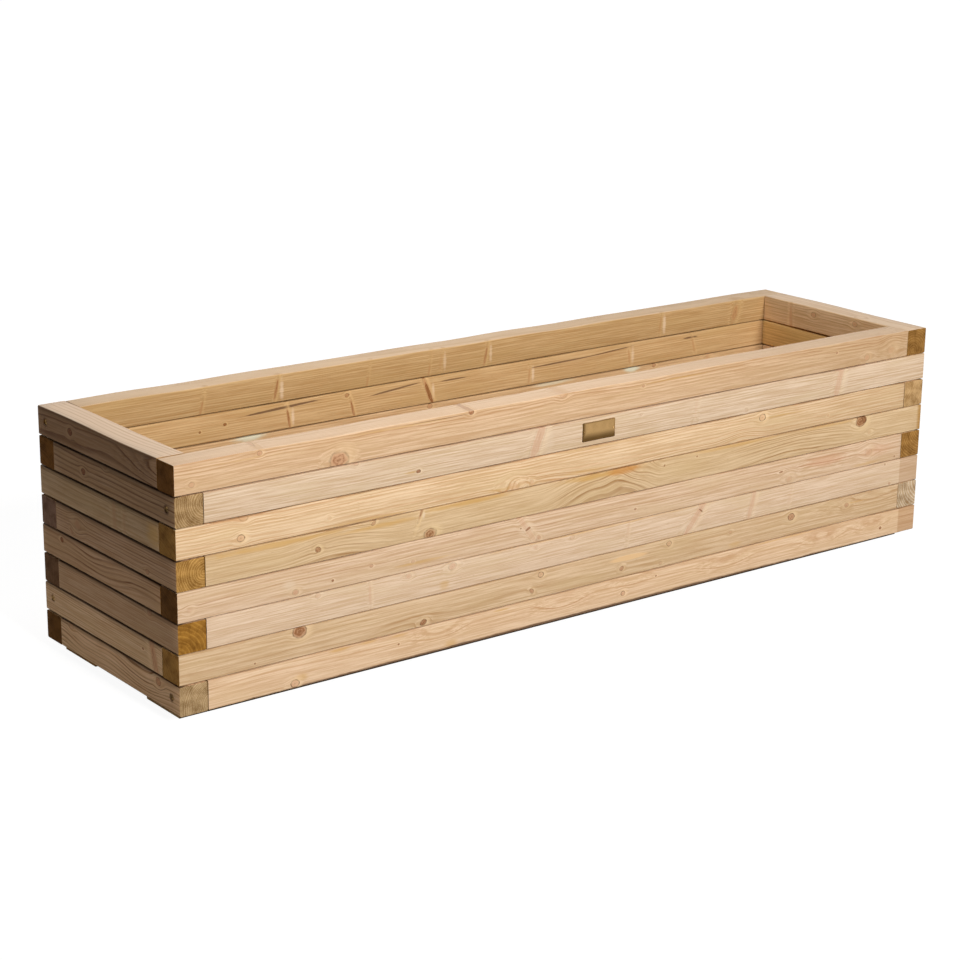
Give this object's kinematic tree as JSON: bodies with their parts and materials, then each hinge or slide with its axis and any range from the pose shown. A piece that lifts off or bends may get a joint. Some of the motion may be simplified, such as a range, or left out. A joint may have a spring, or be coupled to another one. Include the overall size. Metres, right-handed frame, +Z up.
{
  "type": "trough planter",
  "caption": "Long rectangular trough planter of stacked square timber battens with interlocking corners, a slatted floor on base runners and a small blank brass plate on its front.",
  "frame": {"origin": "on the ground under the middle of the planter", "axes": "+X along the planter, +Y from the front with the plate to the back, +Z up"},
  "size_m": [1.5, 0.402, 0.383],
  "materials": {
    "wall_timber": "planed, treated softwood",
    "base_timber": "sawn, treated softwood",
    "plate_brass": "aged, satin",
    "fixing_steel": "dull, coated"
  },
  "bodies": {
    "root": {"back_runner": "base_timber", "brass_plate": "plate_brass", "course_1_back_batten": "wall_timber", "course_1_front_batten": "wall_timber", "course_1_left_batten": "wall_timber", "course_1_right_batten": "wall_timber", "course_2_back_batten": "wall_timber", "course_2_front_batten": "wall_timber", "course_2_left_batten": "wall_timber", "course_2_right_batten": "wall_timber", "course_3_back_batten": "wall_timber", "course_3_front_batten": "wall_timber", "course_3_left_batten": "wall_timber", "course_3_right_batten": "wall_timber", "course_4_back_batten": "wall_timber", "course_4_front_batten": "wall_timber", "course_4_left_batten": "wall_timber", "course_4_right_batten": "wall_timber", "course_5_back_batten": "wall_timber", "course_5_front_batten": "wall_timber", "course_5_left_batten": "wall_timber", "course_5_right_batten": "wall_timber", "course_6_back_batten": "wall_timber", "course_6_front_batten": "wall_timber", "course_6_left_batten": "wall_timber", "course_6_right_batten": "wall_timber", "course_7_back_batten": "wall_timber", "course_7_front_batten": "wall_timber", "course_7_left_batten": "wall_timber", "course_7_right_batten": "wall_timber", "course_8_back_batten": "wall_timber", "course_8_front_batten": "wall_timber", "course_8_left_batten": "wall_timber", "course_8_right_batten": "wall_timber", "course_nails": "fixing_steel", "end_screws": "fixing_steel", "floor_slat_01": "base_timber", "floor_slat_02": "base_timber", "floor_slat_03": "base_timber", "floor_slat_04": "base_timber", "floor_slat_05": "base_timber", "floor_slat_06": "base_timber", "floor_slat_07": "base_timber", "floor_slat_08": "base_timber", "floor_slat_09": "base_timber", "floor_slat_10": "base_timber", "floor_slat_11": "base_timber", "floor_slat_12": "base_timber", "floor_slat_13": "base_timber", "front_runner": "base_timber", "plate_pins": "plate_brass", "runner_nails": "fixing_steel", "slat_nails": "fixing_steel"}
  },
  "joints": []
}
